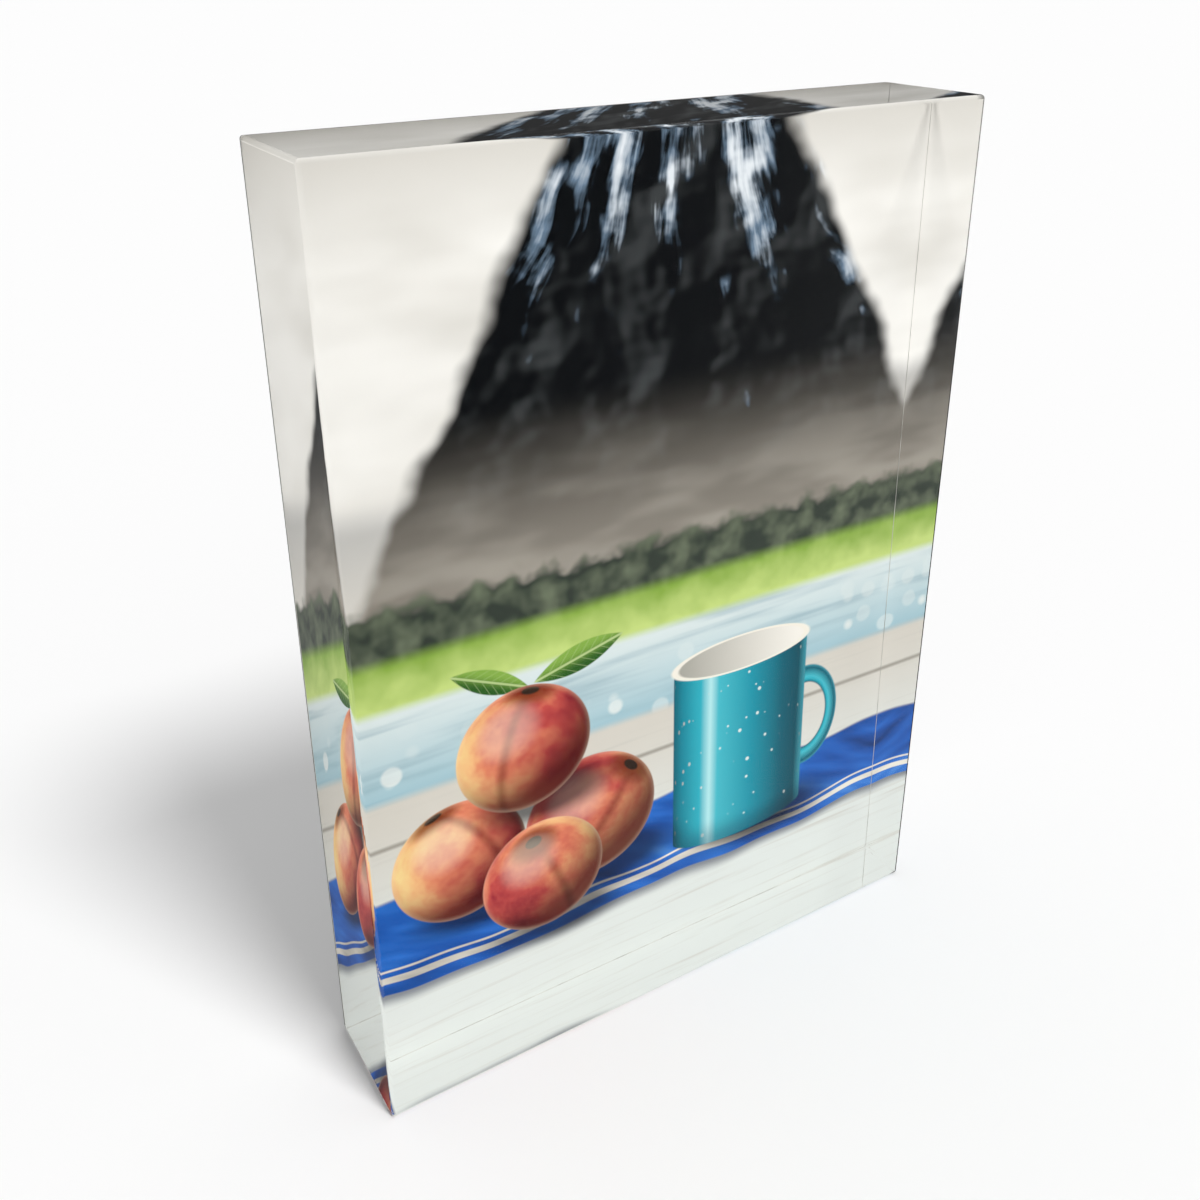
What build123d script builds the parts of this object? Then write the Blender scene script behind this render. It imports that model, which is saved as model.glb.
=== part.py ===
"""Acrylic block frame: a thick clear block with a photo print bonded to its back.

The block stands on its bottom face and is looked at from the front. Behind it lie, in
order, a clear mounting film, the print, a second adhesive film and a thin rigid backing
panel, all trimmed to one outline a hair inside the block's rear edges.

Millimetres. Origin at the centre of the footprint, +Z up, the front faces -Y.
"""

import os

from build123d import *

# Clear block, sawn from cast acrylic sheet and polished
block_width = 130.0
block_height = 180.0
block_thickness = 25.0
edge_radius = 0.6  # eased edges round the front face and from front to back

# Layers behind the block, from front to back
mounting_film_thickness = 0.1
print_thickness = 0.2
backing_film_thickness = 0.1
panel_thickness = 0.5
panel_bevel = 0.1  # eased rear edge of the backing panel
trim_margin = 0.05  # strip of the block's rear face left bare round the layers

# Where each layer begins, measured back from the block's front face
mounting_film_front = block_thickness
print_front = mounting_film_front + mounting_film_thickness
backing_film_front = print_front + print_thickness
panel_front = backing_film_front + backing_film_thickness
total_depth = panel_front + panel_thickness

# Outline shared by the layers: the block's rear face less the trim margin
layer_width = block_width - 2 * trim_margin
layer_height = block_height - 2 * trim_margin
layer_corner_radius = max(edge_radius - trim_margin, 0.1)


def facing_plane(depth):
    """Upright plane at this depth behind the block's front face, centred on the picture.

    Its normal points to the front, so a layer is extruded by a negative amount.
    """
    return Plane(
        origin=(0, depth - total_depth / 2, block_height / 2),
        x_dir=(1, 0, 0),
        z_dir=(0, -1, 0),
    )


with BuildPart() as block:
    with BuildSketch(facing_plane(0)):
        Rectangle(block_width, block_height)
    extrude(amount=-block_thickness)
    front_edges = block.faces().sort_by(Axis.Y)[0].edges()
    depth_edges = block.edges().filter_by(Axis.Y)
    fillet(front_edges + depth_edges, radius=edge_radius)  # the rear edges stay crisp for the print
block.part.label = "acrylic_block"

with BuildPart() as mounting_film:
    with BuildSketch(facing_plane(mounting_film_front)):
        RectangleRounded(layer_width, layer_height, layer_corner_radius)
    extrude(amount=-mounting_film_thickness)
mounting_film.part.label = "mounting_film"

with BuildPart() as photo_print:
    with BuildSketch(facing_plane(print_front)):
        RectangleRounded(layer_width, layer_height, layer_corner_radius)
    extrude(amount=-print_thickness)
photo_print.part.label = "photo_print"

with BuildPart() as backing_film:
    with BuildSketch(facing_plane(backing_film_front)):
        RectangleRounded(layer_width, layer_height, layer_corner_radius)
    extrude(amount=-backing_film_thickness)
backing_film.part.label = "backing_film"

with BuildPart() as backing_panel:
    with BuildSketch(facing_plane(panel_front)):
        RectangleRounded(layer_width, layer_height, layer_corner_radius)
    extrude(amount=-panel_thickness)
    panel_rear = backing_panel.faces().sort_by(Axis.Y)[-1]
    chamfer(panel_rear.edges(), length=panel_bevel)
backing_panel.part.label = "backing_panel"

os.makedirs("parts", exist_ok=True)
for piece in (block, mounting_film, photo_print, backing_film, backing_panel):
    export_step(piece.part, f"parts/{piece.part.label}.step")
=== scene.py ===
import math

import bmesh
import bpy
from mathutils import Matrix, Vector


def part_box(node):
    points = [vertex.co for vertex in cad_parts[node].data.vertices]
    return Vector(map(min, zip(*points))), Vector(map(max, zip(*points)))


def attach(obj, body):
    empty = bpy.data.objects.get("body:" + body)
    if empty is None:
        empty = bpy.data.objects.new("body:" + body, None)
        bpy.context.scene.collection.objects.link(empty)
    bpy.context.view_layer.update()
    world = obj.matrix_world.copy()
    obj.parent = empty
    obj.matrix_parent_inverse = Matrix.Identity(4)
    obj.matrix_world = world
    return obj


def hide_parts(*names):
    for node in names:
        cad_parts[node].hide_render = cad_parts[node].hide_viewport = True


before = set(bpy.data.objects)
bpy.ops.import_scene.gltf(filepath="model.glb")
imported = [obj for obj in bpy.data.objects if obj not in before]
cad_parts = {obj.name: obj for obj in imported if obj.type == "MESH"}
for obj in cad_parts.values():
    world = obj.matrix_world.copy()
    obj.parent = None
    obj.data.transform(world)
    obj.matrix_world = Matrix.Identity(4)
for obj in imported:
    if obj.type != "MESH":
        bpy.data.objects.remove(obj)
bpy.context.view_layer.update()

mm = 0.001
print("frame loaded:", sorted(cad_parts))


def hexColor(code):
    # sRGB hex to the linear colour that a node socket takes
    channels = [int(code[i:i + 2], 16) / 255 for i in (1, 3, 5)]
    return tuple(c / 12.92 if c <= 0.04045 else ((c + 0.055) / 1.055) ** 2.4 for c in channels) + (1.0,)


def addNode(tree, kind, inputs=None, stops=None, **settings):
    # adds one node with its settings, links or sets its inputs, and gives back its outputs
    node = tree.nodes.new("ShaderNode" + kind)
    for name, value in settings.items():
        setattr(node, name, value)
    for socket, value in (inputs or {}).items():
        if isinstance(value, bpy.types.NodeSocket):
            tree.links.new(value, node.inputs[socket])
        else:
            node.inputs[socket].default_value = hexColor(value) if isinstance(value, str) else value
    for i, (place, code) in enumerate(stops or []):   # a colour ramp's stops
        marks = node.color_ramp.elements
        mark = marks[i] if i < len(marks) else marks.new(place)
        mark.position = place
        mark.color = hexColor(code)
    return node.outputs


def layOver(tree, below, color, value, span, most=1.0, soft=True, blend="MIX"):
    # lays a colour over what is below it: none at the start of the value's span, the most of it at the end
    share = addNode(tree, "MapRange", {
        "Value": value, "From Min": span[0], "From Max": span[1], "To Max": most},
        interpolation_type="SMOOTHSTEP" if soft else "LINEAR")[0]
    return addNode(tree, "Mix", {0: share, 6: below, 7: color}, data_type="RGBA", blend_type=blend)[2]


def softEdge(at, blur):
    # the span of an edge that is out of focus; a negative blur turns its inside to the lower end
    return at - blur / 2, at + blur / 2


def newMaterial(name):
    material = bpy.data.materials.new(name)
    material.use_nodes = True
    material.node_tree.nodes.clear()
    return material, material.node_tree


def matteMaterial(name, color):
    # flat matte stuff for the studio
    material, tree = newMaterial(name)
    shader = addNode(tree, "BsdfDiffuse", {"Color": color})
    addNode(tree, "OutputMaterial", {"Surface": shader[0]})
    return material


def mottledMaterial(name, look):
    # two tones of one stuff in patches of a real size, with a pebbled face where the look has one
    material, tree = newMaterial(name)
    place = addNode(tree, "TexCoord")["Object"]
    noise = addNode(tree, "TexNoise", {
        "Vector": place, "Scale": 1 / look["patch"], "Detail": look["detail"]})[0]
    color = layOver(tree, look["color"], look["patchColor"], noise, look["patchSpan"], soft=False)
    inputs = {"Base Color": color, "Roughness": look["roughness"]}
    if "pebble" in look:
        dimple = addNode(tree, "TexVoronoi", {"Vector": place, "Scale": 1 / look["pebble"]})["Distance"]
        inputs["Normal"] = addNode(tree, "Bump", {
            "Height": dimple, "Strength": look["pebbleShare"], "Distance": look["pebbleDepth"]})[0]
    shader = addNode(tree, "BsdfPrincipled", inputs)
    addNode(tree, "OutputMaterial", {"Surface": shader[0]})
    return material


def dress(piece, *materials):
    piece.data.materials.clear()
    for material in materials:
        piece.data.materials.append(material)


# Camera, from the photograph: the block's edges give its place, its aim and the off-centre crop
cameraView = {
    "focal": 1244.0,                     # pixels, in a frame 1200 pixels wide
    "frameWidth": 1200.0,
    "sensor": 36.0,
    "shiftY": -0.1,                      # the photograph is cropped below its optical centre
    "clipStart": 10 * mm,
    "place": (-0.6552, -0.9168, 1.1519),   # in block heights from the middle of the front face's lower edge
    "look": (0.4743, 0.7829, -0.4027),
    "up": (0.2132, 0.3417, 0.9153),
}


def makeCamera(view):
    low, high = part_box("acrylic_block")
    height = high.z - low.z
    back = -Vector(view["look"]).normalized()
    right = Vector(view["up"]).cross(back).normalized()
    up = back.cross(right)
    place = Vector((0, low.y, low.z)) + Vector(view["place"]) * height
    lens = bpy.data.cameras.new("photoCamera")
    lens.sensor_width = view["sensor"]
    lens.lens = view["sensor"] * view["focal"] / view["frameWidth"]
    lens.shift_y = view["shiftY"]
    lens.clip_start = view["clipStart"]
    camera = bpy.data.objects.new("photoCamera", lens)
    turn = Matrix((right, up, back)).transposed().to_4x4()
    camera.matrix_world = Matrix.Translation(place) @ turn
    bpy.context.scene.collection.objects.link(camera)
    bpy.context.scene.camera = camera


makeCamera(cameraView)
print("camera placed")


# Studio: a white sweep, a pale room with a dim wall behind, the key from the front right, two cards at left
studio = {
    "floorSize": 16.0,
    "floorDrop": 0.05 * mm,              # keeps the floor clear of the block's polished base
    "floorColor": "#F7F7F7",
    "frontColor": "#C0C0C0",
    "frontSpan": (0.2, -0.6),            # the room goes over from its back to its front between these
    "backStops": [                       # the room behind by height: pale skyline, dim wall, white ceiling
        (0.0, "#E6E6E6"), (0.05, "#4B4B4B"), (0.4, "#4B4B4B"), (0.75, "#FFFFFF")],
    "roomLight": 0.85,
    "lampFrom": (0.15, -0.545, 0.825),   # the side that the light comes from
    "lampPower": 1.95,
    "lampSpread": 16.0,                  # degrees across, for a soft shadow
    "cardColor": "#848484",
    "cardSize": (0.5, 1.6),
    "cardRise": 0.2 * mm,
    "flagColor": "#000000",
    "flagGap": 0.1 * mm,                 # from the block's left side
    "flagTall": 8.0 * mm,
    "flagTaper": 0.1,                    # its height in front, as a share
}


def addCard(name, color, spot, size, seenBy, turn=(0, 0, 0)):
    # a felt card by the block, seen by one kind of ray alone
    bpy.ops.object.select_all(action="DESELECT")
    bpy.ops.mesh.primitive_plane_add(size=1, location=spot, rotation=turn)
    card = bpy.context.object
    card.name = name
    card.scale = (*size, 1)
    bpy.ops.object.transform_apply(location=True, rotation=True, scale=True)
    dress(card, matteMaterial(name + " felt", color))
    card.visible_camera = card.visible_transmission = card.visible_shadow = False
    card.visible_glossy = seenBy == "glossy"
    card.visible_diffuse = seenBy == "diffuse"
    return card


def makeStudio(setup):
    bpy.ops.object.select_all(action="DESELECT")
    bpy.ops.mesh.primitive_plane_add(size=setup["floorSize"], location=(0, 0, -setup["floorDrop"]))
    floor = bpy.context.object
    floor.name = "studioFloor"
    dress(floor, matteMaterial("matte white sweep paper", setup["floorColor"]))

    # a grey card along the left side, seen in the block's gloss alone, keeps the floor's glare off that side
    low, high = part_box("acrylic_block")
    wide, deep = setup["cardSize"]
    addCard("greyCard", setup["cardColor"], (low.x - wide / 2, low.y + deep / 2, setup["cardRise"]),
            setup["cardSize"], "glossy")
    # a low black flag against that side, tapered to the front, darkens the floor where the block stands
    tall = setup["flagTall"]
    middle = (low.y + high.y) / 2
    flag = addCard("blackFlag", setup["flagColor"], (low.x - setup["flagGap"], middle, low.z + tall / 2),
                   (tall, high.y - low.y), "diffuse", turn=(0, math.radians(90), 0))
    for corner in flag.data.vertices:
        if corner.co.y < middle:
            corner.co.z *= setup["flagTaper"]

    world = bpy.data.worlds.new("studioRoom")
    bpy.context.scene.world = world
    world.use_nodes = True
    tree = world.node_tree
    tree.nodes.clear()
    way = addNode(tree, "TexCoord")["Generated"]     # in a world this is the direction looked in
    axes = addNode(tree, "SeparateXYZ", {0: way})
    behind = addNode(tree, "ValToRGB", {0: axes["Z"]}, stops=setup["backStops"])[0]
    tone = layOver(tree, behind, setup["frontColor"], axes["Y"], setup["frontSpan"])
    light = addNode(tree, "Background", {"Color": tone, "Strength": setup["roomLight"]})
    addNode(tree, "OutputWorld", {"Surface": light[0]})

    lamp = bpy.data.lights.new("softKey", "SUN")
    lamp.energy = setup["lampPower"]
    lamp.angle = math.radians(setup["lampSpread"])
    key = bpy.data.objects.new("softKey", lamp)
    key.rotation_mode = "QUATERNION"
    key.rotation_quaternion = Vector(setup["lampFrom"]).to_track_quat("Z", "Y")
    bpy.context.scene.collection.objects.link(key)


makeStudio(studio)
print("studio lit")


# Clear block with the mounting film on its back: wetted out, the two are one clear body
clearBlock = {
    "edgeRadius": 0.75 * mm,             # round the front face
    "cornerRadius": 0.8 * mm,            # of the outline, seen from the front
    "edgeSteps": 8,
    "filmLap": 0.01 * mm,                # runs this far into the print's gloss, so no air is left between
    "hair": 0.01 * mm,                   # a point this near to a face counts as on it
    "ior": 1.49,                         # cast acrylic
    "clearColor": "#FFFFFF",
}


def letLightIn(tree, shader):
    # light on its way to the print goes straight in, or the picture would be full of grain
    path = addNode(tree, "LightPath")
    clear = addNode(tree, "BsdfTransparent")[0]
    for kind in ("Is Shadow Ray", "Is Diffuse Ray"):
        shader = addNode(tree, "MixShader", {0: path[kind], 1: shader, 2: clear})[0]
    return shader


def polishedAcrylic(name, lit):
    # cast acrylic, diamond polished: water clear, it bends the print behind it
    material, tree = newMaterial(name)
    shader = addNode(tree, "BsdfPrincipled", {
        "Base Color": clearBlock["clearColor"], "Roughness": 0.0, "IOR": clearBlock["ior"],
        "Transmission Weight": 1.0,
        "Specular Tint": "#000000"})[0]      # face on it mirrors next to nothing, so the darks stay deep
    addNode(tree, "OutputMaterial", {"Surface": letLightIn(tree, shader) if lit else shader})
    return material


def bendAndMirror(tree, color, roughness):
    # bends the view, or mirrors it where it is seen from within at a slant
    clear = addNode(tree, "BsdfRefraction", {
        "Color": color, "Roughness": roughness, "IOR": clearBlock["ior"]})[0]
    gloss = addNode(tree, "BsdfGlossy", {"Color": color, "Roughness": roughness})[0]
    share = addNode(tree, "Fresnel", {"IOR": clearBlock["ior"]})[0]
    return addNode(tree, "MixShader", {0: share, 1: clear, 2: gloss})[0]


def mirrorAcrylic():
    # the same acrylic on the right side and the base: seen from within, they mirror the print
    material, tree = newMaterial("polished cast acrylic seen from within")
    shader = bendAndMirror(tree, clearBlock["clearColor"], 0.0)
    addNode(tree, "OutputMaterial", {"Surface": letLightIn(tree, shader)})
    return material


buffedEdge = {
    "roughness": 0.06,
    "paintedShadeColor": "#363C3F",
    "aside": (62.5 * mm, 64.3 * mm),     # the painted shade comes in towards the right outline
    "fore": (-12.2 * mm, -12.4 * mm),    # on the edge of the front face alone
    "down": (150 * mm, 90 * mm),         # the painted shade deepens downwards
    "leastGrey": 0.7,
}


def buffedAcrylic():
    # the eased edges are buffed by hand, a shade softer than the polished faces, and painted shade greys the
    # right
    material, tree = newMaterial("buffed acrylic edge")
    place = addNode(tree, "TexCoord")["Object"]
    axes = addNode(tree, "SeparateXYZ", {0: place})
    # painted shade: grey laid by place on the right front edge, deepest low down, where that edge stands in
    # shade
    start, full = buffedEdge["down"]
    paintedShade = addNode(tree, "MapRange", {
        "Value": axes["Z"], "From Min": start, "From Max": full, "To Min": buffedEdge["leastGrey"]})[0]
    for axis, (start, full) in (("X", buffedEdge["aside"]), ("Y", buffedEdge["fore"])):
        part = addNode(tree, "MapRange", {"Value": axes[axis], "From Min": start, "From Max": full})[0]
        paintedShade = addNode(tree, "Math", {0: paintedShade, 1: part}, operation="MULTIPLY")[0]
    color = addNode(tree, "Mix", {
        0: paintedShade, 6: clearBlock["clearColor"], 7: buffedEdge["paintedShadeColor"]}, data_type="RGBA")[2]
    addNode(tree, "OutputMaterial", {"Surface": bendAndMirror(tree, color, buffedEdge["roughness"])})
    return material


# where film and print are cut flush with the block: a hairline of adhesive, grey where dust has stuck to it
trimmedFilm = {
    "color": "#D2D0C9", "patchColor": "#A5A39C", "patch": 5.0 * mm, "patchSpan": (0.4, 0.65), "detail": 2.0,
    "roughness": 0.7,
}


def selectEdges(piece, wanted):
    # picks edges by the places of their two ends
    cage = bmesh.from_edit_mesh(piece.data)
    for face in cage.faces:
        face.select_set(False)
    for edge in cage.edges:
        edge.select_set(wanted(edge.verts[0].co, edge.verts[1].co))
    cage.select_flush_mode()
    bmesh.update_edit_mesh(piece.data)


def selectFaces(piece, wanted):
    cage = bmesh.from_edit_mesh(piece.data)
    for face in cage.faces:
        face.select_set(False)
    for face in cage.faces:
        if wanted(face):
            face.select_set(True)
    bmesh.update_edit_mesh(piece.data)


def makeClearBlock(shape):
    low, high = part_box("acrylic_block")
    filmLow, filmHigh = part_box("mounting_film")
    bpy.ops.object.select_all(action="DESELECT")
    bpy.ops.mesh.primitive_cube_add(size=1, location=(low + high) / 2)
    block = bpy.context.object
    block.name = "clear_block"
    block.scale = high - low
    bpy.ops.object.transform_apply(location=True, rotation=True, scale=True)

    # four edges run from front to back, then come those round the front; the rear edges stay crisp
    bpy.ops.object.mode_set(mode="EDIT")
    bpy.ops.mesh.select_mode(type="EDGE")
    front = low.y + shape["hair"]
    selectEdges(block, lambda a, b: (a.y < front) != (b.y < front))
    bpy.ops.mesh.bevel(offset=shape["cornerRadius"], segments=shape["edgeSteps"], profile=0.5)
    selectEdges(block, lambda a, b: a.y < front and b.y < front)
    bpy.ops.mesh.bevel(offset=shape["edgeRadius"], segments=shape["edgeSteps"], profile=0.5)

    # the film: a raised pad on the rear face, in the print's outline
    bpy.ops.mesh.select_mode(type="FACE")
    selectFaces(block, lambda face: face.normal.y > 0.99)
    bpy.ops.mesh.inset(thickness=filmLow.x - low.x, use_even_offset=True)
    pad = filmHigh.y - filmLow.y + shape["filmLap"]
    bpy.ops.mesh.extrude_region_move(TRANSFORM_OT_translate={"value": (0, pad, 0)})
    bpy.ops.object.mode_set(mode="OBJECT")
    bpy.ops.object.shade_flat()

    dress(block, polishedAcrylic("polished cast acrylic", False), buffedAcrylic(),
          mottledMaterial("trimmed film edge", trimmedFilm),
          polishedAcrylic("polished cast acrylic to the light", True), mirrorAcrylic())
    shaded, buffed, trimmed, lit, mirror = range(5)  # the slots, in that order
    rear, bonded = high.y - shape["hair"], high.y + pad - shape["hair"]
    for face in block.data.polygons:
        way = face.normal
        flat = max(abs(axis) for axis in way) > 0.999
        face.material_index = shaded if flat else buffed
        if flat and way.x > -0.5:                # all but the left side, which keeps its shadow on the floor
            face.material_index = mirror if way.x > 0.5 or way.z < -0.5 else lit
        if rear < face.center.y < bonded:        # the film's cut edge and the hair of bare block round it
            face.material_index = trimmed
    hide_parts("acrylic_block", "mounting_film")
    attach(block, "root")


makeClearBlock(clearBlock)
print("clear block polished")


# Picture on the print: peaches and a mug on a blue cloth, before a soft-focus lake and mountain.
# All places and sizes are millimetres on the print, from the middle of its lower edge.
sky = {
    "lowColor": "#FBF9F3", "highColor": "#D3CFC6", "span": (160.0, 182.0),
    "cloudColor": "#DEDBD3", "cloudSize": (70.0, 1.0, 26.0), "cloudSpan": (0.42, 0.72),
}


def paintSky(tree, spot):
    up = addNode(tree, "SeparateXYZ", {0: spot})["Z"]
    clear = layOver(tree, sky["lowColor"], sky["highColor"], up, sky["span"], soft=False)
    stretched = addNode(tree, "Mapping", {0: spot, "Scale": sky["cloudSize"]}, vector_type="TEXTURE")[0]
    wisp = addNode(tree, "TexNoise", {"Vector": stretched, "Scale": 1.0, "Detail": 3.0})[0]
    return layOver(tree, clear, sky["cloudColor"], wisp, sky["cloudSpan"])


farHills = {
    "crest": 121.0, "ragged": 13.0, "raggedSize": 46.0, "blur": 7.0,
    "highColor": "#BDBCB8", "lowColor": "#DAD6CD", "mist": (0.0, 22.0),
}


def paintFarHills(tree, spot, below):
    up = addNode(tree, "SeparateXYZ", {0: spot})["Z"]
    jag = addNode(tree, "TexNoise", {"Vector": spot, "Scale": 1 / farHills["raggedSize"], "Detail": 2.0})[0]
    crest = addNode(tree, "MapRange", {
        "Value": jag, "To Min": farHills["crest"] - farHills["ragged"],
        "To Max": farHills["crest"] + farHills["ragged"]})[0]
    depth = addNode(tree, "Math", {0: crest, 1: up}, operation="SUBTRACT")[0]
    tone = layOver(tree, farHills["highColor"], farHills["lowColor"], depth, farHills["mist"], soft=False)
    return layOver(tree, below, tone, depth, softEdge(0.0, farHills["blur"]))


mountain = {
    "summit": (8.0, 0.0, 222.0),         # above the print's top edge, so the peak is cropped
    "slope": 1.85, "ragged": 18.0, "raggedSize": 26.0, "blur": 9.0,
    "rockDark": "#0C0E10", "rockLight": "#3E4142", "rockSize": 20.0,
    "reliefStep": (1.9, 0.0, -1.3), "litSpan": (-0.02, 0.13),
    "hazeColor": "#8A847A", "hazeSpan": (134.0, 97.0),
    "screeColor": "#A59F94", "screeSize": (30.0, 1.0, 9.0), "screeSpan": (0.4, 0.68),
    "snowShade": "#6E8499", "snowLight": "#E6ECF0", "snowLow": 116.0, "snowHigh": 192.0,
    "gullies": 9.0, "gullyLong": 38.0, "gullyBend": 0.07, "bendSize": 22.0,
    "patchSize": 8.0, "patchShare": 0.5,
    "deepest": 1.0, "shallowest": 0.68,  # how deep a gully has to be to hold snow, low down and high up
    "snowSpan": (-0.05, 0.09), "sunShare": 0.9, "sunSpan": (0.0, 0.17),
}


def paintMountain(tree, spot, below):
    up = addNode(tree, "SeparateXYZ", {0: spot})["Z"]
    fall = addNode(tree, "VectorMath", {0: mountain["summit"], 1: spot}, operation="SUBTRACT")[0]
    legs = addNode(tree, "SeparateXYZ", {0: fall})
    aside = addNode(tree, "Math", {0: legs["X"]}, operation="ABSOLUTE")[0]
    flank = addNode(tree, "Math", {
        0: aside, 1: -mountain["slope"], 2: legs["Z"]}, operation="MULTIPLY_ADD")[0]
    jag = addNode(tree, "TexNoise", {"Vector": spot, "Scale": 1 / mountain["raggedSize"], "Detail": 3.0})[0]
    rough = addNode(tree, "MapRange", {
        "Value": jag, "To Min": -mountain["ragged"], "To Max": mountain["ragged"]})[0]
    depth = addNode(tree, "Math", {0: flank, 1: rough}, operation="ADD")[0]

    # rock: the same crags a step further on, taken away, leave their lit sides
    crag = addNode(tree, "TexNoise", {"Vector": spot, "Scale": 1 / mountain["rockSize"], "Detail": 3.0})[0]
    step = addNode(tree, "VectorMath", {0: spot, 1: mountain["reliefStep"]}, operation="ADD")[0]
    beside = addNode(tree, "TexNoise", {"Vector": step, "Scale": 1 / mountain["rockSize"], "Detail": 3.0})[0]
    tilt = addNode(tree, "Math", {0: crag, 1: beside}, operation="SUBTRACT")[0]
    rock = layOver(tree, mountain["rockDark"], mountain["rockLight"], tilt, mountain["litSpan"])
    wide = addNode(tree, "Mapping", {0: spot, "Scale": mountain["screeSize"]}, vector_type="TEXTURE")[0]
    drift = addNode(tree, "TexNoise", {"Vector": wide, "Scale": 1.0, "Detail": 2.0})[0]
    foot = layOver(tree, mountain["hazeColor"], mountain["screeColor"], drift, mountain["screeSpan"])
    rock = layOver(tree, rock, foot, up, mountain["hazeSpan"])

    # snow lies in gullies that run down from the summit, bent a little on the way
    bend = addNode(tree, "TexNoise", {"Vector": spot, "Scale": 1 / mountain["bendSize"], "Detail": 1.0})[0]
    sway = addNode(tree, "MapRange", {
        "Value": bend, "To Min": -mountain["gullyBend"], "To Max": mountain["gullyBend"]})[0]
    angle = addNode(tree, "Math", {0: legs["X"], 1: legs["Z"]}, operation="ARCTAN2")[0]
    bearing = addNode(tree, "Math", {0: angle, 1: sway}, operation="ADD")[0]
    turn = addNode(tree, "Math", {0: bearing, 1: mountain["gullies"]}, operation="MULTIPLY")[0]
    reach = addNode(tree, "VectorMath", {0: fall}, operation="LENGTH")[1]
    run = addNode(tree, "Math", {0: reach, 1: mountain["gullyLong"]}, operation="DIVIDE")[0]
    track = addNode(tree, "CombineXYZ", {0: turn, 1: run})[0]
    gully = addNode(tree, "TexNoise", {"Vector": track, "Scale": 1.0, "Detail": 4.0, "Roughness": 0.6})[0]
    patch = addNode(tree, "TexNoise", {"Vector": spot, "Scale": 1 / mountain["patchSize"], "Detail": 3.0})[0]
    broken = addNode(tree, "Math", {
        0: patch, 1: mountain["patchShare"], 2: gully}, operation="MULTIPLY_ADD")[0]
    line = addNode(tree, "MapRange", {
        "Value": up, "From Min": mountain["snowLow"], "From Max": mountain["snowHigh"],
        "To Min": mountain["deepest"], "To Max": mountain["shallowest"]})[0]
    fill = addNode(tree, "Math", {0: broken, 1: line}, operation="SUBTRACT")[0]
    sunny = addNode(tree, "Math", {0: tilt, 1: mountain["sunShare"], 2: fill}, operation="MULTIPLY_ADD")[0]
    snow = layOver(tree, mountain["snowShade"], mountain["snowLight"], sunny, mountain["sunSpan"], soft=False)
    face = layOver(tree, rock, snow, fill, mountain["snowSpan"])
    return layOver(tree, below, face, depth, softEdge(0.0, mountain["blur"]))


shore = {
    "treeTop": 100.0, "treeRagged": 5.0, "treeSize": 6.0, "treeBlur": 3.0,
    "treeDark": "#363E36", "treeLight": "#6C7560", "leafSpan": (0.4, 0.7),
    "grassTop": 90.0, "grassBlur": 3.4, "grassDark": "#86A945", "grassLight": "#C5DA80", "grassLow": 81.0,
    "lakeTop": 80.0, "lakeBlur": 2.6, "lakeFar": "#DFE9E7", "lakeNear": "#9CC2CD", "lakeLow": 60.0,
    "streakSize": (44.0, 1.0, 3.2), "streakColor": "#7FA3B0", "streakSpan": (0.45, 0.75), "streakMost": 0.6,
    "glintSize": 6.0, "glintColor": "#FDFCF4", "glintLow": 61.0, "glintHigh": 79.0,
    "glintEdge": (0.4, 0.3),             # of a spark's disc, in shares of the glint size
    "glintLuck": (0.5, 1.0), "glintMost": 0.8,
}


def paintShore(tree, spot, below):
    up = addNode(tree, "SeparateXYZ", {0: spot})["Z"]
    bough = addNode(tree, "TexNoise", {"Vector": spot, "Scale": 1 / shore["treeSize"], "Detail": 2.0})[0]
    jag = addNode(tree, "MapRange", {
        "Value": bough, "To Min": -shore["treeRagged"], "To Max": shore["treeRagged"]})[0]
    height = addNode(tree, "Math", {0: up, 1: jag}, operation="SUBTRACT")[0]
    tone = layOver(tree, shore["treeDark"], shore["treeLight"], bough, shore["leafSpan"], soft=False)
    color = layOver(tree, below, tone, height, softEdge(shore["treeTop"], -shore["treeBlur"]))

    tone = layOver(tree, shore["grassDark"], shore["grassLight"], height,
                   (shore["grassTop"], shore["grassLow"]), soft=False)
    color = layOver(tree, color, tone, up, softEdge(shore["grassTop"], -shore["grassBlur"]))

    # the lake: paler far out, with long flat streaks and out-of-focus sparks of light
    water = layOver(tree, shore["lakeFar"], shore["lakeNear"], up,
                    (shore["lakeTop"], shore["lakeLow"]), soft=False)
    flat = addNode(tree, "Mapping", {0: spot, "Scale": shore["streakSize"]}, vector_type="TEXTURE")[0]
    ripple = addNode(tree, "TexNoise", {"Vector": flat, "Scale": 1.0, "Detail": 2.0})[0]
    water = layOver(tree, water, shore["streakColor"], ripple, shore["streakSpan"], shore["streakMost"])
    cells = addNode(tree, "TexVoronoi", {"Vector": spot, "Scale": 1 / shore["glintSize"]})
    disc = addNode(tree, "MapRange", {
        "Value": cells["Distance"], "From Min": shore["glintEdge"][0], "From Max": shore["glintEdge"][1]})[0]
    luck = addNode(tree, "SeparateColor", {0: cells["Color"]})[0]
    picked = addNode(tree, "MapRange", {
        "Value": luck, "From Min": shore["glintLuck"][0], "From Max": shore["glintLuck"][1],
        "To Max": shore["glintMost"]})[0]
    band = addNode(tree, "MapRange", {
        "Value": up, "From Min": shore["glintHigh"], "From Max": shore["glintLow"]})[0]
    spark = addNode(tree, "Math", {0: disc, 1: picked}, operation="MULTIPLY")[0]
    spark = addNode(tree, "Math", {0: spark, 1: band}, operation="MULTIPLY")[0]
    water = addNode(tree, "Mix", {0: spark, 6: water, 7: shore["glintColor"]}, data_type="RGBA")[2]
    return layOver(tree, color, water, up, softEdge(shore["lakeTop"], -shore["lakeBlur"]))


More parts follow.
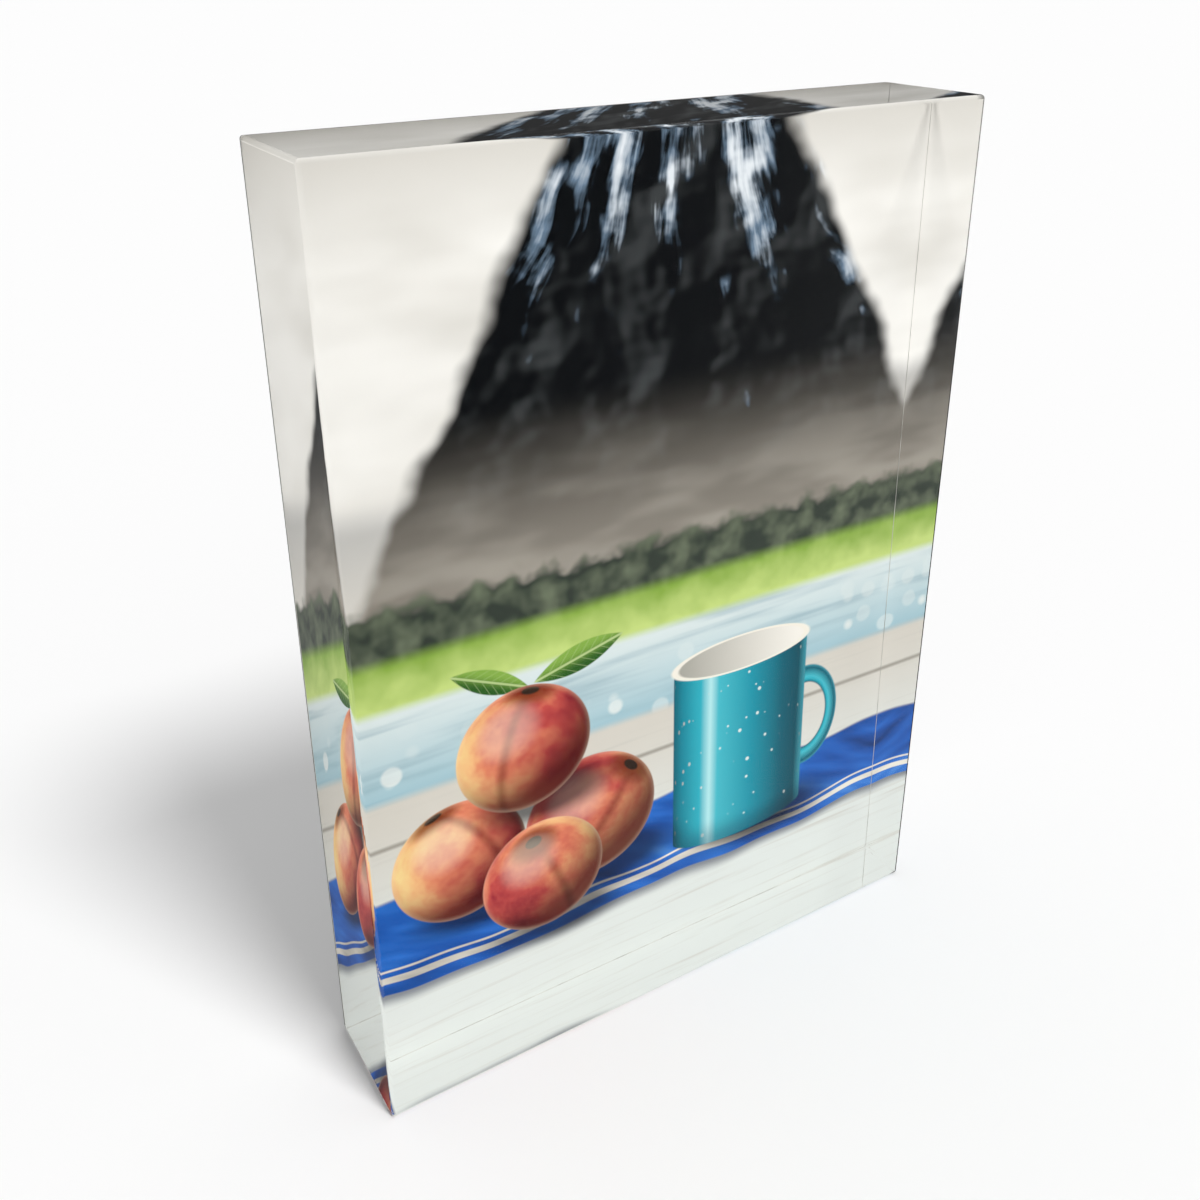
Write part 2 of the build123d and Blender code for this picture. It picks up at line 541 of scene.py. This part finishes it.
table = {
    "farEdge": 61.0, "farBlur": 2.4, "farColor": "#D6D1C6", "nearColor": "#E2E7E2", "nearEnd": 20.0,
    "grainSize": (34.0, 1.0, 1.1), "grainColor": "#C9C6BC", "grainSpan": (0.5, 0.8), "grainMost": 0.6,
    "joint": 51.0, "jointHalf": 0.9, "jointColor": "#8D877C", "jointMost": 0.75,   # the gap between boards
}


def paintTable(tree, spot, below):
    up = addNode(tree, "SeparateXYZ", {0: spot})["Z"]
    wood = layOver(tree, table["farColor"], table["nearColor"], up, (table["farEdge"], table["nearEnd"]))
    drawn = addNode(tree, "Mapping", {0: spot, "Scale": table["grainSize"]}, vector_type="TEXTURE")[0]
    fibre = addNode(tree, "TexNoise", {"Vector": drawn, "Scale": 1.0, "Detail": 4.0})[0]
    wood = layOver(tree, wood, table["grainColor"], fibre, table["grainSpan"], table["grainMost"])
    off = addNode(tree, "Math", {0: up, 1: table["joint"]}, operation="SUBTRACT")[0]
    off = addNode(tree, "Math", {0: off}, operation="ABSOLUTE")[0]
    wood = layOver(tree, wood, table["jointColor"], off, (table["jointHalf"], 0.0), table["jointMost"])
    return layOver(tree, below, wood, up, softEdge(table["farEdge"], -table["farBlur"]))


cloth = {
    "front": 16.5, "back": 38.0, "wander": 5.0, "wanderSize": 34.0, "frontSoft": 0.4, "backSoft": 1.2,
    "folds": [(0.3, "#0A326F"), (0.47, "#1A57AE"), (0.6, "#2A71CC"), (0.74, "#5B9CE4")],
    "foldSize": (34.0, 1.0, 7.0), "foldTurn": 20.0,
    "stripeColor": "#EFEADC", "stripeSoft": 0.3, "stripes": ((3.6, 0.8), (5.9, 0.28)),   # inset, half width
    "stripeShade": (0.3, 0.62), "stripeLeast": 0.35,     # the stripes darken in the folds
    "shadowReach": 3.2, "shadowColor": "#8A8C98", "shadowMost": 0.9,
}


def paintCloth(tree, spot, below):
    up = addNode(tree, "SeparateXYZ", {0: spot})["Z"]
    slack = addNode(tree, "TexNoise", {"Vector": spot, "Scale": 1 / cloth["wanderSize"], "Detail": 1.0})[0]
    sway = addNode(tree, "MapRange", {
        "Value": slack, "To Min": -cloth["wander"], "To Max": cloth["wander"]})[0]
    lifted = addNode(tree, "Math", {0: up, 1: sway}, operation="SUBTRACT")[0]
    fromHem = addNode(tree, "Math", {0: lifted, 1: cloth["front"]}, operation="SUBTRACT")[0]
    shadow = addNode(tree, "MapRange", {
        "Value": fromHem, "From Min": -cloth["shadowReach"], "From Max": 0.0, "To Max": cloth["shadowMost"]},
        interpolation_type="SMOOTHSTEP")[0]
    backSide = addNode(tree, "MapRange", {
        "Value": lifted, "From Min": cloth["back"] + cloth["backSoft"], "From Max": cloth["back"]},
        interpolation_type="SMOOTHSTEP")[0]
    shadow = addNode(tree, "Math", {0: shadow, 1: backSide}, operation="MULTIPLY")[0]
    ground = addNode(tree, "Mix", {
        0: shadow, 6: below, 7: cloth["shadowColor"]}, data_type="RGBA", blend_type="MULTIPLY")[2]

    turned = addNode(tree, "Mapping", {
        0: spot, "Rotation": (0, math.radians(cloth["foldTurn"]), 0), "Scale": cloth["foldSize"]},
        vector_type="TEXTURE")[0]
    fold = addNode(tree, "TexNoise", {"Vector": turned, "Scale": 1.0, "Detail": 2.5})[0]
    blue = addNode(tree, "ValToRGB", {0: fold}, stops=cloth["folds"])[0]
    light = addNode(tree, "MapRange", {
        "Value": fold, "From Min": cloth["stripeShade"][0], "From Max": cloth["stripeShade"][1],
        "To Min": cloth["stripeLeast"]})[0]
    cream = addNode(tree, "VectorMath", {
        0: hexColor(cloth["stripeColor"])[:3], "Scale": light}, operation="SCALE")[0]
    for inset, halfWidth in cloth["stripes"]:
        off = addNode(tree, "Math", {0: fromHem, 1: inset}, operation="SUBTRACT")[0]
        off = addNode(tree, "Math", {0: off}, operation="ABSOLUTE")[0]
        blue = layOver(tree, blue, cream, off, softEdge(halfWidth, -cloth["stripeSoft"]))
    frontSide = addNode(tree, "MapRange", {
        "Value": fromHem, "From Min": 0.0, "From Max": cloth["frontSoft"]},
        interpolation_type="SMOOTHSTEP")[0]
    lies = addNode(tree, "Math", {0: frontSide, 1: backSide}, operation="MULTIPLY")[0]
    return addNode(tree, "Mix", {0: lies, 6: ground, 7: blue}, data_type="RGBA")[2]


stillLife = {
    "lightFrom": (-0.46, 0.56, 0.69),    # y is towards the viewer here
    "shadowColor": "#20222E", "shadowSpan": (0.0, 0.6), "shadowMost": 0.8,
}


def paintShadow(tree, spot, below, middle, size):
    # a soft dark blot under a thing
    under = addNode(tree, "Mapping", {
        0: spot, "Location": (middle[0], 0, middle[1]), "Scale": (size[0], 1, size[1])},
        vector_type="TEXTURE")[0]
    blot = addNode(tree, "TexGradient", {0: under}, gradient_type="SPHERICAL")[1]
    return layOver(tree, below, stillLife["shadowColor"], blot, stillLife["shadowSpan"],
                   stillLife["shadowMost"], blend="MULTIPLY")


peaches = {
    "skin": [(0.16, "#F7D893"), (0.38, "#F4BC82"), (0.58, "#E58A66"), (0.8, "#C7504A"), (0.98, "#9E2F38")],
    "mottling": 1.5, "blushShare": 0.42, "squat": 0.95, "outline": (1.0, 0.955),
    "creaseColor": "#7E3F38", "creaseSpan": (0.13, 0.0), "creaseMost": 0.5, "creaseFar": (-0.1, 0.5),
    "hollowColor": "#8C6A33", "hollowSpan": (0.88, 0.99), "hollowMost": 0.85,
    "stalkColor": "#33241A", "stalkSpan": (0.989, 0.993),
    "shadeColor": "#6A4650", "shadeSpan": (0.75, -0.3),
    "sheenColor": "#FFF1DD", "sheenSpan": (0.82, 1.0), "sheenMost": 0.3,
    "fuzzColor": "#FFE4C6", "fuzzSpan": (0.45, 0.0), "fuzzMost": 0.3,
    "shadowShift": (0.3, -0.85), "shadowSize": (1.35, 0.5),          # in radii
    # stem: where the stalk sits on the ball; along: which way the seam runs from it
    "fruit": (
        {"x": -42.0, "z": 42.0, "radius": 14.5, "seed": 1.3, "blush": (0.7, 0.3, -0.2),
         "stem": (-0.35, 0.35, 0.87), "along": (0.5, 0.85, 0.0)},
        {"x": -12.5, "z": 41.0, "radius": 15.5, "seed": 4.1, "blush": (-0.5, 0.5, 0.5),
         "stem": (0.62, 0.5, 0.6), "along": (-0.2, 0.75, -0.6)},
        {"x": -27.0, "z": 62.5, "radius": 14.8, "seed": 7.7, "blush": (0.6, 0.5, 0.3),
         "stem": (0.12, 0.42, 0.9), "along": (-0.35, 0.8, -0.4)},
        {"x": -24.0, "z": 31.0, "radius": 14.0, "seed": 9.2, "blush": (-0.6, 0.5, -0.1),
         "stem": (-0.15, 0.74, 0.66), "along": (0.4, 0.5, -0.7)},
    ),
}


def paintPeach(tree, spot, below, peach):
    radius = peach["radius"]
    (shiftX, shiftZ), (sizeX, sizeZ) = peaches["shadowShift"], peaches["shadowSize"]
    ground = paintShadow(tree, spot, below, (peach["x"] + shiftX * radius, peach["z"] + shiftZ * radius),
                         (sizeX * radius, sizeZ * radius))

    # a ball seen square on: its surface bulges towards the viewer by the root of what is left of the radius
    local = addNode(tree, "Mapping", {
        0: spot, "Location": (peach["x"], 0, peach["z"]),
        "Scale": (radius, 1, radius * peaches["squat"])}, vector_type="TEXTURE")[0]
    squared = addNode(tree, "VectorMath", {0: local, 1: local}, operation="DOT_PRODUCT")[1]
    left = addNode(tree, "Math", {0: 1.0, 1: squared}, operation="SUBTRACT", use_clamp=True)[0]
    bulge = addNode(tree, "Math", {0: left}, operation="SQRT")[0]
    lift = addNode(tree, "CombineXYZ", {1: bulge})[0]
    outward = addNode(tree, "VectorMath", {0: local, 1: lift}, operation="ADD")[0]

    # how far the skin faces each of these ways, from 1 straight at it to -1 straight away
    stem = Vector(peach["stem"]).normalized()
    across = stem.cross(Vector(peach["along"])).normalized()
    between = (Vector(stillLife["lightFrom"]) + Vector((0, 1, 0))).normalized()
    sunSide, side, onward, near, facing, gloss = [
        addNode(tree, "VectorMath", {0: outward, 1: way}, operation="DOT_PRODUCT")[1]
        for way in (peach["blush"], across, peach["along"], stem, stillLife["lightFrom"], between)]

    moved = addNode(tree, "VectorMath", {0: outward, 1: (peach["seed"],) * 3}, operation="ADD")[0]
    mottle = addNode(tree, "TexNoise", {
        "Vector": moved, "Scale": peaches["mottling"], "Detail": 5.0, "Roughness": 0.6})[0]
    ripe = addNode(tree, "Math", {
        0: sunSide, 1: peaches["blushShare"], 2: mottle}, operation="MULTIPLY_ADD")[0]
    skin = addNode(tree, "ValToRGB", {0: ripe}, stops=peaches["skin"])[0]

    # the seam runs from the stalk's hollow and dies out round the far side
    off = addNode(tree, "Math", {0: side}, operation="ABSOLUTE")[0]
    seam = addNode(tree, "MapRange", {
        "Value": off, "From Min": peaches["creaseSpan"][0], "From Max": peaches["creaseSpan"][1],
        "To Max": peaches["creaseMost"]}, interpolation_type="SMOOTHSTEP")[0]
    far = addNode(tree, "MapRange", {
        "Value": onward, "From Min": peaches["creaseFar"][0], "From Max": peaches["creaseFar"][1]})[0]
    seam = addNode(tree, "Math", {0: seam, 1: far}, operation="MULTIPLY")[0]
    skin = addNode(tree, "Mix", {
        0: seam, 6: skin, 7: peaches["creaseColor"]}, data_type="RGBA", blend_type="MULTIPLY")[2]
    skin = layOver(tree, skin, peaches["hollowColor"], near, peaches["hollowSpan"], peaches["hollowMost"],
                   blend="MULTIPLY")
    skin = layOver(tree, skin, peaches["stalkColor"], near, peaches["stalkSpan"], soft=False)
    skin = layOver(tree, skin, peaches["shadeColor"], facing, peaches["shadeSpan"], blend="MULTIPLY")
    skin = layOver(tree, skin, peaches["sheenColor"], gloss, peaches["sheenSpan"], peaches["sheenMost"])
    skin = layOver(tree, skin, peaches["fuzzColor"], bulge, peaches["fuzzSpan"], peaches["fuzzMost"])
    return layOver(tree, ground, skin, squared, peaches["outline"])


leaves = {
    "dark": "#2F5D25", "light": "#86AE4B", "foldSpan": (-0.2, 0.2), "halfWidth": 0.3, "outline": (0.0, 0.03),
    "lineColor": "#C2D596", "veins": 9.0, "veinSlant": -1.2, "veinSpan": (0.2, 0.0), "veinMost": 0.35,
    "ribSpan": (0.035, 0.015), "ribMost": 0.8,
    "each": ({"x": -14.5, "z": 79.0, "halfLong": 10.5, "turn": -14.0},
             {"x": -33.5, "z": 79.5, "halfLong": 9.0, "turn": 24.0}),
}


def paintLeaf(tree, spot, below, leaf):
    local = addNode(tree, "Mapping", {
        0: spot, "Location": (leaf["x"], 0, leaf["z"]), "Rotation": (0, math.radians(leaf["turn"]), 0),
        "Scale": (leaf["halfLong"], 1, leaf["halfLong"])}, vector_type="TEXTURE")[0]
    axes = addNode(tree, "SeparateXYZ", {0: local})
    squared = addNode(tree, "Math", {0: axes["X"], 1: axes["X"]}, operation="MULTIPLY")[0]
    left = addNode(tree, "Math", {0: 1.0, 1: squared}, operation="SUBTRACT", use_clamp=True)[0]
    half = addNode(tree, "Math", {0: left, 1: leaves["halfWidth"]}, operation="MULTIPLY")[0]
    off = addNode(tree, "Math", {0: axes["Z"]}, operation="ABSOLUTE")[0]
    into = addNode(tree, "Math", {0: half, 1: off}, operation="SUBTRACT")[0]
    blade = layOver(tree, leaves["dark"], leaves["light"], axes["Z"], leaves["foldSpan"])
    slant = addNode(tree, "Math", {0: off, 1: leaves["veinSlant"], 2: axes["X"]}, operation="MULTIPLY_ADD")[0]
    beat = addNode(tree, "Math", {0: slant, 1: leaves["veins"]}, operation="MULTIPLY")[0]
    saw = addNode(tree, "Math", {0: beat, 1: 1.0}, operation="PINGPONG")[0]
    vein, rib = [
        addNode(tree, "MapRange", {
            "Value": value, "From Min": start, "From Max": full, "To Max": most})[0]
        for value, (start, full), most in ((saw, leaves["veinSpan"], leaves["veinMost"]),
                                           (off, leaves["ribSpan"], leaves["ribMost"]))]
    lines = addNode(tree, "Math", {0: vein, 1: rib}, operation="MAXIMUM")[0]
    blade = addNode(tree, "Mix", {0: lines, 6: blade, 7: leaves["lineColor"]}, data_type="RGBA")[2]
    return layOver(tree, below, blade, into, leaves["outline"], soft=False)


mug = {
    "x": 25.0, "foot": 25.0, "rim": 68.0, "halfWidth": 17.5,
    "tip": 0.24,                         # how far the rim opens to the viewer
    "glaze": [(0.0, "#0C5A6B"), (0.07, "#17879A"), (0.2, "#2FAFC0"), (0.27, "#B5E8EA"), (0.33, "#46BAC8"),
              (0.58, "#1A94A8"), (0.82, "#0B5E70"), (0.94, "#0A4C5B"), (1.0, "#3F98A6")],
    "sides": (1.0, 0.97), "footSoft": 0.3, "rimSoft": 0.4,
    "fleckColor": "#EAF3EC", "fleckSize": 2.5, "fleckSizes": (-0.08, 0.24), "fleckSpan": (-0.03, 0.05),
    "fleckMost": 0.8,
    "lowColor": "#4A6A80", "lowSpan": (7.0, 0.0), "lowMost": 0.55,   # the wall darkens to the foot
    "lipColor": "#F3EEE0", "lipSpread": 1.03, "lip": 0.9, "lipSoft": 0.04,
    "insideNear": "#F4F0E6", "insideFar": "#A7A59B", "insideSpan": (0.8, -0.9),
    "handle": (9.5, 13.0), "handleBand": 0.17, "handleHeight": 46.0, "handleSoft": 0.03,
    "shadowShift": (0.35, -1.0), "shadowSize": (1.5, 0.5),           # aside and size in half widths
}


def paintMug(tree, spot, below):
    halfWidth, tip, shift, size = mug["halfWidth"], mug["tip"], mug["shadowShift"], mug["shadowSize"]
    color = paintShadow(tree, spot, below, (mug["x"] + shift[0] * halfWidth, mug["foot"] + shift[1]),
                        (size[0] * halfWidth, size[1] * halfWidth))

    # handle: an oval ring, round in section
    loop = addNode(tree, "Mapping", {
        0: spot, "Location": (mug["x"] + halfWidth, 0, mug["handleHeight"]),
        "Scale": (mug["handle"][0], 1, mug["handle"][1])}, vector_type="TEXTURE")[0]
    ring = addNode(tree, "VectorMath", {0: loop}, operation="LENGTH")[1]
    inner = 1.0 - 2 * mug["handleBand"]
    section = addNode(tree, "MapRange", {"Value": ring, "From Min": inner, "From Max": 1.0})[0]
    tone = addNode(tree, "ValToRGB", {0: section}, stops=mug["glaze"][::2])[0]
    outside, hole = [
        addNode(tree, "MapRange", {"Value": ring, "From Min": start, "From Max": full})[0]
        for start, full in (softEdge(1.0, -mug["handleSoft"]), softEdge(inner, mug["handleSoft"]))]
    held = addNode(tree, "Math", {0: outside, 1: hole}, operation="MULTIPLY")[0]
    color = addNode(tree, "Mix", {0: held, 6: color, 7: tone}, data_type="RGBA")[2]

    # wall: shaded round the cylinder, flecked enamel
    local = addNode(tree, "Mapping", {
        0: spot, "Location": (mug["x"], 0, 0), "Scale": (halfWidth, 1, 1)}, vector_type="TEXTURE")[0]
    axes = addNode(tree, "SeparateXYZ", {0: local})
    squared = addNode(tree, "Math", {0: axes["X"], 1: axes["X"]}, operation="MULTIPLY")[0]
    left = addNode(tree, "Math", {0: 1.0, 1: squared}, operation="SUBTRACT", use_clamp=True)[0]
    bulge = addNode(tree, "Math", {0: left}, operation="SQRT")[0]
    lowered = addNode(tree, "Math", {0: bulge, 1: halfWidth * tip, 2: axes["Z"]}, operation="MULTIPLY_ADD")[0]
    fromFoot = addNode(tree, "Math", {0: lowered, 1: mug["foot"]}, operation="SUBTRACT")[0]
    around = addNode(tree, "MapRange", {"Value": axes["X"], "From Min": -1.0, "From Max": 1.0})[0]
    glaze = addNode(tree, "ValToRGB", {0: around}, stops=mug["glaze"])[0]
    turn = addNode(tree, "Math", {0: axes["X"]}, operation="ARCSINE")[0]
    arc = addNode(tree, "Math", {0: turn, 1: halfWidth}, operation="MULTIPLY")[0]
    wrapped = addNode(tree, "CombineXYZ", {0: arc, 2: axes["Z"]})[0]
    cells = addNode(tree, "TexVoronoi", {"Vector": wrapped, "Scale": 1 / mug["fleckSize"]})
    luck = addNode(tree, "SeparateColor", {0: cells["Color"]})[0]
    reach = addNode(tree, "MapRange", {
        "Value": luck, "To Min": mug["fleckSizes"][0], "To Max": mug["fleckSizes"][1]})[0]
    into = addNode(tree, "Math", {0: reach, 1: cells["Distance"]}, operation="SUBTRACT")[0]
    glow = addNode(tree, "VectorMath", {
        0: hexColor(mug["fleckColor"])[:3], "Scale": bulge}, operation="SCALE")[0]
    glaze = layOver(tree, glaze, glow, into, mug["fleckSpan"], mug["fleckMost"], soft=False)
    glaze = layOver(tree, glaze, mug["lowColor"], fromFoot, mug["lowSpan"], mug["lowMost"], blend="MULTIPLY")
    sides, footed, topped = [
        addNode(tree, "MapRange", {"Value": value, "From Min": start, "From Max": full})[0]
        for value, (start, full) in ((squared, mug["sides"]), (fromFoot, softEdge(0.0, mug["footSoft"])),
                                     (axes["Z"], softEdge(mug["rim"], -mug["rimSoft"])))]
    wall = addNode(tree, "Math", {0: sides, 1: footed}, operation="MULTIPLY")[0]
    wall = addNode(tree, "Math", {0: wall, 1: topped}, operation="MULTIPLY")[0]
    color = addNode(tree, "Mix", {0: wall, 6: color, 7: glaze}, data_type="RGBA")[2]

    # rim: a pale rolled lip round the lit inside
    mouthWidth = halfWidth * mug["lipSpread"]
    mouth = addNode(tree, "Mapping", {
        0: spot, "Location": (mug["x"], 0, mug["rim"]), "Scale": (mouthWidth, 1, mouthWidth * tip)},
        vector_type="TEXTURE")[0]
    ring = addNode(tree, "VectorMath", {0: mouth}, operation="LENGTH")[1]
    color = layOver(tree, color, mug["lipColor"], ring, softEdge(1.0, -mug["lipSoft"]), soft=False)
    aside = addNode(tree, "SeparateXYZ", {0: mouth})["X"]
    hollow = layOver(tree, mug["insideNear"], mug["insideFar"], aside, mug["insideSpan"], soft=False)
    return layOver(tree, color, hollow, ring, softEdge(mug["lip"], -mug["lipSoft"]), soft=False)


def photoPaper():
    # resin-coated photo paper wetted out on the block: its own gloss is gone and only the picture shows
    material, tree = newMaterial("photo paper bonded face on")
    place = addNode(tree, "TexCoord")["Object"]
    spot = addNode(tree, "Mapping", {0: place, "Scale": (1 / mm, 0, 1 / mm)})[0]
    color = paintSky(tree, spot)
    for paint in (paintFarHills, paintMountain, paintShore, paintTable, paintCloth, paintMug):
        color = paint(tree, spot, color)
    for leaf in leaves["each"]:
        color = paintLeaf(tree, spot, color, leaf)
    for peach in peaches["fruit"]:
        color = paintPeach(tree, spot, color, peach)
    shader = addNode(tree, "BsdfPrincipled", {
        "Base Color": color, "Roughness": 0.6, "Specular IOR Level": 0.0})
    addNode(tree, "OutputMaterial", {"Surface": shader[0]})
    return material


# the print's cut edge: bare white paper, its fibres cut across
paperCore = {
    "color": "#F1EFE9", "patchColor": "#DFDCD4", "patch": 0.6 * mm, "patchSpan": (0.0, 1.0), "detail": 3.0,
    "roughness": 0.8,
}

# a milky film, seen only as a hairline between the print and the panel, clouded where it took up air
backingFilm = {
    "color": "#F2F0EA", "patchColor": "#E2DFD6", "patch": 2.0 * mm, "patchSpan": (0.0, 1.0), "detail": 2.0,
    "roughness": 0.4,
}

# charcoal vinyl sheet, matte, with the fine pebble that it is rolled with
backingPanel = {
    "color": "#5B5A57", "patchColor": "#6A6965", "patch": 0.8 * mm, "patchSpan": (0.4, 0.65), "detail": 3.0,
    "roughness": 0.55, "pebble": 0.5 * mm, "pebbleDepth": 0.02 * mm, "pebbleShare": 0.5,
}


def dressLayers():
    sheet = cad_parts["photo_print"]
    dress(sheet, photoPaper(), mottledMaterial("paper core", paperCore))
    for face in sheet.data.polygons:
        face.material_index = 0 if face.normal.y < -0.5 else 1   # the picture in front, bare paper round it
    dress(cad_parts["backing_film"], mottledMaterial("backing adhesive film", backingFilm))
    dress(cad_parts["backing_panel"], mottledMaterial("charcoal rigid vinyl", backingPanel))


dressLayers()
print("layers dressed")

scene = bpy.context.scene
scene.view_settings.view_transform = "Standard"
scene.cycles.max_bounces = 24            # the block mirrors the print several times over
scene.cycles.glossy_bounces = 12
scene.cycles.transmission_bounces = 16
scene.cycles.diffuse_bounces = 6
